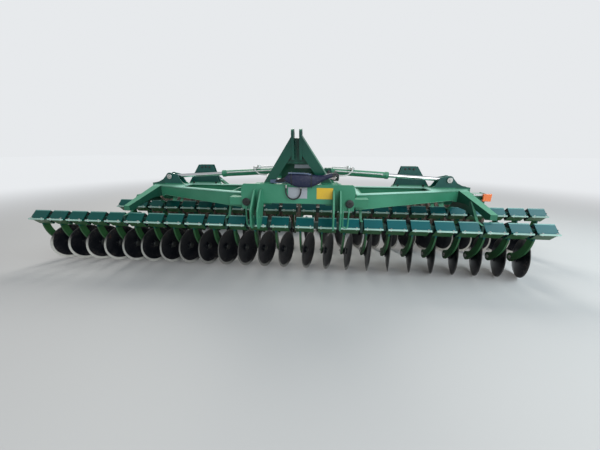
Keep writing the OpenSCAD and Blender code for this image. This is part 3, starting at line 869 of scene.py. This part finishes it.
@dataclass
class Beam:
    """Front beam: bare plates, welds, pin heads, guards of the hitch brackets, the hose pack and pipes."""

    finishes: Finishes
    pack_y: float = SIZE.y(-0.186)

    def build(self) -> None:
        """Makes the beam's pieces."""
        self.bare_plates()
        self.welds()
        self.pin_heads()
        self.guards()
        self.hose_sleeve()
        self.hose_lines()
        self.hose_tubes()
        self.hose_clips()
        self.pipes()

    def bare_plates(self) -> None:
        """Makes the two blank plates on the beam's face."""
        for name, x0, x1, z0, z1, material in (
            ("bare_plate_grey", -0.030, 0.170, 0.955, 1.070, self.finishes.grey_plate),
            ("bare_plate_yellow", 0.268, 0.436, 0.952, 1.068, self.finishes.yellow_plate),
        ):
            piece = Piece(name, material)
            piece.panel(x0, x1, z0, z1, SIZE.face - 0.0018, 0.0022)
            piece.done(bevel=0.0006)

    def welds(self) -> None:
        """Makes the weld beads at the hitch plates, the tower's feet and the beam's ends."""
        piece = Piece("beam_welds", self.finishes.frame)
        seam = SIZE.beam_top + 0.002
        for side in Side:
            for gap in (-0.042, -0.026, 0.026, 0.042):
                x = SIZE.x(side, SIZE.hitch_span / 2 + gap)
                piece.sweep([(x, SIZE.face, z / 100) for z in range(84, 106, 2)], 0.005)
            for frame_x in (0.281, 0.392):
                x = SIZE.x(side, frame_x)
                piece.sweep([(x, SIZE.y(y / 1000), seam) for y in range(-122, -36, 12)], 0.005)
            piece.sweep([(SIZE.x(side, x / 1000), SIZE.y(-0.124), seam) for x in range(272, 384, 10)], 0.005)
        piece.done(smooth=60)

    def pin_heads(self) -> None:
        """Makes the round heads of the hinge pins with their lock plates."""
        heads = Piece("hinge_pin_heads", self.finishes.bolt)
        face = SIZE.face - 0.014
        for side in Side:
            x = SIZE.x(side, SIZE.hinge_x)
            heads.turned(
                (x, face + 0.002, SIZE.hinge_z), (0, -1, 0),
                [(0.0425, 0.0), (0.0425, 0.006), (0.038, 0.009), (0.014, 0.009), (0.012, 0.005)], 32,
            )
            heads.bolt((x, face - 0.001, SIZE.hinge_z), (0, -1, 0), 0.008)
        heads.done()

    def guards(self) -> None:
        """Makes the bent rods beside the hitch brackets that guide the tractor's hooks."""
        piece = Piece("hook_guards", self.finishes.frame)
        outer, inner = SIZE.hitch_span / 2 + 0.125, SIZE.hitch_span / 2 + 0.068
        # Place across, distance before the beam's face, height
        corners = (
            (outer, -0.004, 0.862), (outer, 0.060, 0.840), (outer - 0.008, 0.070, 0.668),
            (inner, 0.070, 0.668), (inner - 0.004, 0.060, 0.840), (inner - 0.004, -0.004, 0.862),
        )
        for side in Side:
            piece.bent([(SIZE.x(side, x), SIZE.face - y, z) for x, y, z in corners], 0.035, 0.008)
        piece.done(smooth=60)

    def hose_sleeve(self) -> None:
        """Makes the sleeve around the hoses that hang over the beam's top edge."""
        sleeve = Piece("hose_pack_sleeve", self.finishes.sleeve, Slot.HOSE)
        # Station: place across, height of the middle, half height, half depth
        stations = (
            (-0.060, 1.158, 0.016, 0.016), (-0.035, 1.160, 0.036, 0.024), (-0.005, 1.162, 0.054, 0.026),
            (0.040, 1.152, 0.068, 0.028), (0.090, 1.146, 0.071, 0.030), (0.140, 1.147, 0.066, 0.028),
            (0.190, 1.142, 0.064, 0.030), (0.240, 1.143, 0.056, 0.027), (0.285, 1.154, 0.043, 0.025),
            (0.330, 1.172, 0.030, 0.023), (0.375, 1.190, 0.025, 0.021), (0.420, 1.202, 0.022, 0.020),
        )
        rings = []
        for i, (x, z, tall, deep) in enumerate(stations):
            ring = []
            for k in range(24):
                a = math.tau * k / 24
                fold = 1 + 0.07 * math.sin(3 * a + i * 1.3) + 0.03 * math.sin(7 * a + i * 2.2)
                ring.append(Vector((x, self.pack_y + math.cos(a) * deep * fold, z + math.sin(a) * tall * fold)))
            rings.append(ring)
        sleeve.skin(rings)
        sleeve.done(smooth=70)

    def hose_lines(self) -> None:
        """Makes the five hoses that leave the sleeve at both ends."""
        hoses = Piece("hose_pack_lines", self.finishes.rubber, Slot.HOSE)
        radius, turn = 0.0095, 1.26
        y, rear = self.pack_y, SIZE.y(0.50)
        for k in range(5):
            dy, dz = 0.012 * math.cos(k * turn), 0.013 * math.sin(k * turn)
            hoses.bent([
                (0.40, y + dy, 1.198 + dz), (0.45, y + 0.01 + dy, 1.210 + dz), (0.485, y + 0.07 + dy, 1.190 + dz),
                (0.490 - 0.006 * k, y + 0.20, 1.128), (0.480 - 0.018 * k, y + 0.42, 1.122),
                (0.455 - 0.018 * k, rear, 1.150), (0.40, rear + 0.02, 1.165 + 0.008 * k),
            ], 0.05, radius)
            hoses.bent([
                (-0.04, y + dy, 1.158 + dz), (-0.10, y + 0.01 + dy, 1.140 + dz), (-0.17, y + 0.05, 1.118 + 0.005 * k),
                (-0.20 - 0.016 * k, y + 0.11, 1.109),
            ], 0.04, radius)
        hoses.done(smooth=60)

    def hose_tubes(self) -> None:
        """Makes the two tubes left of the sleeve and the bright one along its crest."""
        tubes = Piece("hose_pack_tubes", self.finishes.slate, Slot.HOSE)
        for k in range(2):
            route = ((-0.215, -0.130, 1.119 + 0.016 * k), (-0.12, -0.150, 1.121 + 0.018 * k),
                     (-0.03, -0.170, 1.132 + 0.018 * k))
            tubes.bent([(x, SIZE.y(y), z) for x, y, z in route], 0.05, 0.011, 12)
        crest = ((-0.02, -0.205, 1.219), (0.06, -0.208, 1.219), (0.17, -0.207, 1.215), (0.21, -0.19, 1.205))
        tubes.bent([(x, SIZE.y(y), z) for x, y, z in crest], 0.03, 0.0075)
        tubes.done(smooth=60)

    def hose_clips(self) -> None:
        """Makes the two clips around the sleeve."""
        clips = Piece("hose_pack_clips", self.finishes.bolt)
        turns = [math.tau * k / 28 for k in range(29)]
        for x, z, tall in ((0.012, 1.160, 0.06527), (0.215, 1.1425, 0.06848)):
            clips.sweep([(x, self.pack_y + math.cos(a) * 0.034, z + math.sin(a) * tall) for a in turns], 0.004, 8)
        clips.done(smooth=50)

    def pipes(self) -> None:
        """Makes the bent steel pipes from the tower's foot to the fold cylinders."""
        pipes = Piece("steel_pipes", self.finishes.pipe, Slot.CHROME)
        for side in Side:
            for k in range(2):
                off = 0.022 * k
                corners = (
                    (0.20 + off, -0.03, 1.105), (0.20 + off, 0.02, 1.135), (0.30 + off, 0.16, 1.125),
                    (0.42, 0.30 + off, 1.118), (0.44 - off, 0.43, 1.140), (0.40 - off, 0.50, 1.150),
                )
                pipes.bent([(SIZE.x(side, x), SIZE.y(y), z) for x, y, z in corners], 0.05, 0.0075)
        pipes.done(smooth=60)


@dataclass
class Tower:
    """Three-point tower: welds, the bolts of the cross plate and the sheet behind the legs."""

    finishes: Finishes
    lean: float = math.radians(12)
    foot_y: float = -0.08

    def local(self, x: float, y: float, z: float) -> Point:
        """Point in the frame from the leaning tower's own axes."""
        c, s = math.cos(self.lean), math.sin(self.lean)
        return (SIZE.shift + x, SIZE.y(self.foot_y) + y * c - z * s, SIZE.beam_top + y * s + z * c)

    def build(self) -> None:
        """Makes the tower's pieces."""
        welds = Piece("tower_welds", self.finishes.frame)
        for sign in (-1, 1):
            welds.sweep([self.local(sign * (0.050 - 0.0003 * k), -0.041, 0.30 + 0.012 * k) for k in range(12)], 0.004)
            welds.sweep([self.local(sign * (0.226 - 0.0122 * k), 0.02, 0.068 + 0.0164 * k) for k in range(12)], 0.004)
        welds.sweep([self.local(-0.135 + 0.03 * k, 0.021, 0.212) for k in range(10)], 0.004)
        welds.done(smooth=60)
        bolts = Piece("tower_bolts", self.finishes.bolt)
        forward = tuple(Vector(self.local(0, -1, 0)) - Vector(self.local(0, 0, 0)))
        for x, z in ((-0.09, 0.25), (0.09, 0.25), (-0.045, 0.32), (0.045, 0.32)):
            bolts.bolt(self.local(x, 0.022, z), forward, 0.012)
        bolts.done()
        self.back_panel()

    def back_panel(self) -> None:
        """Makes the bent sheet behind the legs, which closes the view under the web, and its blank plate; the sheet's
        near-black green is painted shade.
        """
        foot, upright, low = SIZE.y(-0.0098), SIZE.y(0.014), SIZE.beam_top
        bend, top, half, wall = low + 0.022, low + 0.208, 0.189, 0.004
        profile = [
            (foot, low - 0.050), (foot, low + 0.002), (upright, bend), (upright, top - 0.012),
            (upright + 0.010, top), (upright + 0.010, top - wall), (upright + wall, top - 0.014),
            (upright + wall, bend - 0.001), (foot + wall, low - 0.001), (foot + wall, low - 0.050),
        ]
        sheet = Piece("tower_back_panel", self.finishes.shaded)
        sheet.skin([[Vector((SIZE.shift + x, y, z)) for y, z in profile] for x in (-half, half)])
        sheet.done(bevel=0.0008)
        badge = Piece("tower_blank_plate", self.finishes.grey_plate)
        badge.panel(SIZE.shift - 0.045, SIZE.shift + 0.165, 1.254, 1.292, upright - 0.0020, 0.0022)
        badge.done(bevel=0.0006)


@dataclass
class SideDress:
    """What the dress of one side shares: its finishes, its side and how its pieces begin."""

    finishes: Finishes
    side: Side

    def x(self, frame_x: float) -> float:
        """Place across on this side."""
        return SIZE.x(self.side, frame_x)

    def start(self, name: str, material: Material, slot: Slot = Slot.FRAME, body: str = "") -> Piece:
        """Begins a piece of this side, on its wing or on the named body."""
        return Piece(f"{name}_{self.side.word}", material, slot, body or self.side.wing)


@dataclass
class Wing(SideDress):
    """One wing's structure: welds, bracket pins, tower bolts, tube caps, brackets and marker."""

    def build(self) -> None:
        """Makes the wing's pieces."""
        self.welds()
        self.bracket_pin()
        self.tower_bolts()
        self.tube_caps()
        if self.side is Side.RIGHT:
            self.marker()
        self.under_brackets()

    def girder(self, x: float) -> tuple[float, float]:
        """Front face of the girder, in the frame, and height of its underside at a place across."""
        share = (x - SIZE.girder_in) / (SIZE.girder_end - SIZE.girder_in)
        return SIZE.y(0.43 * share), SIZE.girder_top - SIZE.girder_h + (SIZE.girder_h - SIZE.girder_h_out) * share

    def welds(self) -> None:
        """Makes the weld beads under the girder's top plate, at its foot and at the outer arm."""
        piece = self.start("girder_welds", self.finishes.wing)
        stations = [SIZE.girder_in + 0.006 + 0.0416 * k for k in range(31)]
        edge = [(self.x(x), *self.girder(x)) for x in stations if x < SIZE.girder_end - 0.01]
        piece.sweep([(x, front - 0.001, SIZE.girder_top - 0.0125) for x, front, _ in edge], 0.0035)
        piece.sweep([(x, front, low + 0.001) for x, front, low in edge], 0.004)
        end = self.x(SIZE.girder_end + 0.002)
        piece.sweep([(end, SIZE.y(0.428), z / 1000) for z in range(870, 972, 12)], 0.004)
        piece.done(smooth=60)

    def under_brackets(self) -> None:
        """Makes the slanted bracket plates under the girder's outer end."""
        piece = self.start("under_brackets", self.finishes.wing)
        for x0, x1 in ((1.560, 1.620), (1.665, 1.745)):
            (front, top0), (_, top1) = self.girder(x0), self.girder(x1)
            corners = (
                (x0, front + 0.10, top0 + 0.002), (x1, front + 0.10, top1 + 0.002),
                (x1 - 0.012, front + 0.035, 0.788), (x0 + 0.012, front + 0.035, 0.788),
            )
            piece.plate([(self.x(x), y, z) for x, y, z in corners], (0, 0.006, 0.006))
        piece.done(bevel=0.0015)

    def bracket_pin(self) -> None:
        """Makes the large pin head on the rod's bracket, with its lock bolt."""
        piece = self.start("bracket_pin", self.finishes.zinc, Slot.CHROME)
        x, z = self.x(1.82), 1.09
        for y, way in ((0.529, -1), (0.671, 1)):
            rim = [(0.034, 0.0), (0.034, 0.004), (0.031, 0.007)]
            piece.turned((x, SIZE.y(y - way * 0.002), z), (0, way, 0), rim, 28)
            piece.bolt((x, SIZE.y(y + way * 0.004), z), (0, way, 0), 0.010)
        piece.done()

    def tower_bolts(self) -> None:
        """Makes the bolts and the upper pin of the depth tower."""
        piece = self.start("depth_tower_bolts", self.finishes.bolt)
        upper = ((1.345, 1.205), (1.400, 1.212), (1.455, 1.205))
        for x, z in (*upper, (1.33, 1.10), (1.47, 1.10), (1.27, 0.99), (1.60, 0.99)):
            piece.bolt((self.x(x), SIZE.y(0.760), z), (0, -1, 0), 0.014)
            piece.bolt((self.x(x), SIZE.y(0.832), z), (0, 1, 0), 0.014)
        piece.done()

    def tube_caps(self) -> None:
        """Makes the plastic plugs in the ends of the row tubes."""
        piece = self.start("tube_caps", self.finishes.rubber, Slot.HOSE)
        half = 0.0272
        for row in SIZE.rows:
            count = SIZE.discs - row.left_count if self.side is Side.RIGHT else row.left_count
            for x, way in ((count * SIZE.pitch - 0.003, 1), (0.003, -1)):
                out = self.side.value * way
                px = self.side.value * (x + SIZE.wing_gap) - out * 0.004
                square = ((-half, -half), (half, -half), (half, half), (-half, half))
                piece.plate([(px, row.y + dy, SIZE.row_z + dz) for dy, dz in square], (out * 0.0035, 0, 0))
        piece.done(bevel=0.001)

    def marker(self) -> None:
        """Makes the amber marker on its pale arm at the roller frame's outer end, seen on the right only."""
        marker = self.start("marker", self.finishes.amber)
        y, inner, end = SIZE.y(1.666), self.x(2.80), self.x(2.984)
        marker.panel(self.x(2.945), self.x(3.078), 0.624, 0.752, y, 0.030)
        marker.done(bevel=0.006)
        arm = self.start("marker_arm", self.finishes.pipe, Slot.CHROME)
        shelf = ((inner, 0.027), (end, 0.027), (end, 0.087), (inner, 0.087))
        arm.plate([(x, y + dy, 0.738) for x, dy in shelf], (0, 0, 0.006))
        arm.panel(inner, self.x(3.06), 0.712, 0.741, y + 0.029, 0.005)
        arm.done(bevel=0.001)


@dataclass
class ClampBolts(SideDress):
    """Flange bolts of all clamps of one wing, and the nuts at their arms' ends."""

    inset: float = 0.032

    def build(self) -> None:
        """Makes four bolts, from above and from below, on each clamp, and one nut on each arm."""
        heads = self.start("clamp_bolts", self.finishes.zinc, Slot.ARM)
        nuts = self.start("arm_nuts", self.finishes.zinc, Slot.ARM)
        along = SIZE.clamp_l / 2 - self.inset
        beside = SIZE.clamp_tip + SIZE.flange / 2 - 0.001
        out = SIZE.arm_mid * math.cos(SIZE.disc_angle) - SIZE.disc_shift + SIZE.arm_t / 2
        back = SIZE.disc_back + SIZE.arm_mid * math.sin(SIZE.disc_angle)
        for row in SIZE.rows:
            places = [SIZE.clamp_x(row, index) for index in range(SIZE.discs)]
            for x in (x for x in places if x * self.side.value > 0):
                for dx, dy in ((-1, -1), (-1, 1), (1, -1), (1, 1)):
                    for up in (1, -1):
                        seat = (x + dx * along, row.y + dy * beside, SIZE.row_z + up * 0.008)
                        heads.bolt(seat, (0, 0, up), 0.010)
                nuts.bolt((x + row.sign * out, row.y + back, SIZE.disc_r), (row.sign, 0, 0), 0.018)
        heads.done()
        nuts.done()


@dataclass
class DiscHubs:
    """Hub bolts and caps of every disc, one piece on each disc's body."""

    finishes: Finishes
    bolts: int = 5

    def mesh(self) -> bpy.types.Mesh:
        """Makes one hub cap with its bolts.

        Returns:
            Its mesh, in the disc's own axes with z towards the arm.
        """
        hub = Piece("disc_hub", self.finishes.bolt)
        for k in range(self.bolts):
            a = math.tau * k / self.bolts
            seat = (0.047 * math.cos(a), 0.047 * math.sin(a), SIZE.dish_depth - 0.008)
            hub.bolt(seat, (0, 0, -1), 0.008)
        cap = [(0.0365, 0.0), (0.0365, 0.004), (0.030, 0.010), (0.016, 0.013)]
        hub.turned((0, 0, SIZE.dish_depth - 0.024), (0, 0, -1), cap, 24)
        return hub.shaded_mesh(40)

    def build(self) -> None:
        """Places a hub on each disc."""
        data = self.mesh()
        for row in SIZE.rows:
            turn = Matrix.Rotation(row.sign * SIZE.disc_angle, 4, "Z")
            turn = turn @ Matrix.Rotation(row.sign * math.pi / 2, 4, "Y")
            for index in range(SIZE.discs):
                name = f"{row.name}_{index + 1:02d}"
                hub = placed(f"hub_{name}", data)
                middle = (SIZE.disc_x(row, index), row.y + SIZE.disc_back, SIZE.disc_r)
                hub.matrix_world = Matrix.Translation(middle) @ turn
                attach(hub, f"disc_{name}")
        LOG.info("%d disc hubs, %d faces each", 2 * SIZE.discs, len(data.polygons))


@dataclass
class FoldCylinder(SideDress):
    """Dress of one fold cylinder: its pipes, ports, wiper ring and eye rings."""

    pivot: tuple[float, float] = (0.320, 1.180)
    eye: tuple[float, float] = (1.820, 1.090)
    barrel_l: float = 0.772

    def at(self, along: float, out: float, up: float) -> Point:
        """Finds a point in the frame from the cylinder's own axes.

        Args:
            along: Distance from the pivot towards the eye.
            out: Distance behind the cylinder's middle.
            up: Distance over it.

        Returns:
            The point.
        """
        length = math.dist(self.pivot, self.eye)
        cx, cz = (self.eye[0] - self.pivot[0]) / length, (self.eye[1] - self.pivot[1]) / length
        x = self.pivot[0] + along * cx - up * cz
        return (self.x(x), SIZE.y(0.6) + out, self.pivot[1] + along * cz + up * cx)

    def build(self) -> None:
        """Makes the cylinder's pieces."""
        body = f"fold_barrel_{self.side.word}"
        pipe = self.start("cylinder_pipe", self.finishes.pipe, Slot.CHROME, body)
        upper = (
            (0.075, -0.050, -0.030), (0.16, -0.068, -0.040), (0.25, -0.068, -0.030), (0.305, -0.060, 0.020),
            (0.315, -0.040, 0.062), (0.280, -0.012, 0.062), (0.06, -0.010, 0.056), (0.045, -0.010, 0.036),
        )
        pipe.bent([self.at(*p) for p in upper], 0.03, 0.0088)
        union = [(0.024, 0.0), (0.024, 0.038), (0.018, 0.044), (0.010, 0.044)]
        pipe.turned(self.at(0.262, -0.012, 0.046), (0, 0, 1), union, 8)
        front = (
            (0.10, -0.034, 0.010), (0.10, -0.062, 0.014), (0.14, -0.064, 0.014),
            (0.66, -0.064, 0.014), (0.685, -0.062, 0.014), (0.685, -0.034, 0.010),
        )
        pipe.bent([self.at(*p) for p in front], 0.02, 0.0078)
        pipe.done(smooth=60)
        ports = self.start("cylinder_ports", self.finishes.zinc, Slot.CHROME, body)
        small = [(0.014, 0.0), (0.014, 0.014), (0.012, 0.016)]
        wide = [(0.020, -0.02), (0.020, 0.012), (0.017, 0.015)]
        upright = [(0.016, 0.0), (0.016, 0.030), (0.013, 0.034)]
        for seat, way, profile in (
            ((0.10, -0.036, 0.010), (0, -1, 0), small), ((0.685, -0.036, 0.010), (0, -1, 0), small),
            ((0.300, -0.030, 0.050), (0, -1, 0), wide), ((0.325, -0.010, 0.038), (0, 0, 1), upright),
        ):
            ports.turned(self.at(*seat), way, profile, 6)
        axis = tuple(Vector(self.at(1, 0, 0)) - Vector(self.at(0, 0, 0)))
        wiper = [(0.034, 0.0), (0.034, 0.004), (0.029, 0.007)]
        ports.turned(self.at(self.barrel_l - 0.001, 0, 0), axis, wiper, 28)
        ports.done()
        rings = self.start("rod_eye_rings", self.finishes.zinc, Slot.CHROME, f"fold_rod_{self.side.word}")
        for way in (-1, 1):
            seat = self.at(math.dist(self.pivot, self.eye), way * 0.0395, 0)
            rings.turned(seat, (0, way, 0), [(0.036, 0.0), (0.036, 0.002), (0.033, 0.004)], 28)
        rings.done()


@dataclass
class RollerDress(SideDress):
    """Scraper blades and bearings of one roller frame."""

    rings: int = 24

    def build(self) -> None:
        """Makes the scrapers and the bearing housings."""
        self.scrapers()
        self.bearings()

    def scrapers(self) -> None:
        """Makes one blade for each valley of the roller, bolted to the scraper bar."""
        blades = self.start("scraper_blades", self.finishes.bolt)
        bolts = self.start("scraper_bolts", self.finishes.zinc)
        seat_y, tip_y, z = SIZE.y(SIZE.roller_y + 0.33), SIZE.y(SIZE.roller_y + 0.242), SIZE.roller_r + 0.102
        for k in range(1, self.rings):
            x = self.x(SIZE.roller_x0 + k * SIZE.roller_l / self.rings)
            blades.plate([
                (x - 0.030, seat_y + 0.055, z), (x + 0.030, seat_y + 0.055, z), (x + 0.030, seat_y - 0.005, z),
                (x + 0.012, tip_y, z - 0.052), (x - 0.012, tip_y, z - 0.052), (x - 0.030, seat_y - 0.005, z),
            ], (0, 0, 0.006))
            bolts.bolt((x, seat_y + 0.030, z + 0.006), (0, 0, 1), 0.009)
        blades.done(bevel=0.001)
        bolts.done()

    def bearings(self) -> None:
        """Makes the flanged bearing housings on the end plates."""
        piece = self.start("roller_bearings", self.finishes.frame)
        bolts = self.start("roller_bearing_bolts", self.finishes.bolt)
        housing = [(0.056, 0.0), (0.056, 0.010), (0.042, 0.014), (0.040, 0.024), (0.030, 0.028)]
        y, z = SIZE.y(SIZE.roller_y), SIZE.roller_r
        for along, way in ((-0.026, -1), (SIZE.roller_l + 0.026, 1)):
            out = self.side.value * way
            x = self.x(SIZE.roller_x0 + along)
            piece.turned((x, y, z), (out, 0, 0), housing, 32)
            for k in range(4):
                a = math.pi / 4 + k * math.pi / 2
                seat = (x + out * 0.010, y + 0.048 * math.cos(a), z + 0.048 * math.sin(a))
                bolts.bolt(seat, (out, 0, 0), 0.007)
        piece.done()
        bolts.done()


def dress_nodes(finishes: Finishes) -> None:
    """Gives every CAD node its finish.

    Args:
        finishes: All finishes.
    """
    left_counts = {row.name: row.left_count for row in SIZE.rows}
    by_start = {
        "disc_mounts": finishes.arm, "wing_frame": finishes.wing, "fold_barrel": finishes.barrel,
        "fold_rod": finishes.chrome, "roller": finishes.roller, "hydraulic_hose": finishes.rubber,
    }
    for name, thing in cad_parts.items():
        material = next((finish for start, finish in by_start.items() if name.startswith(start)), finishes.frame)
        if name.startswith(("disc_front", "disc_rear")):
            _, row, number = name.split("_")
            material = finishes.discs[row, Side.LEFT if int(number) <= left_counts[row] else Side.RIGHT]
        for slot in thing.material_slots:
            slot.material = material
        LOG.info("node %s wears %s", name, material.name)


def main() -> None:
    """Builds the studio and dresses the machine."""
    logging.basicConfig(level=logging.INFO, format="%(message)s")
    Studio().build()
    finishes = Finishes()
    LoopHose(finishes).build()
    dress_nodes(finishes)
    Beam(finishes).build()
    Tower(finishes).build()
    for side in Side:
        Wing(finishes, side).build()
        ClampBolts(finishes, side).build()
        FoldCylinder(finishes, side).build()
        RollerDress(finishes, side).build()
    DiscHubs(finishes).build()


if __name__ == "__main__":
    main()
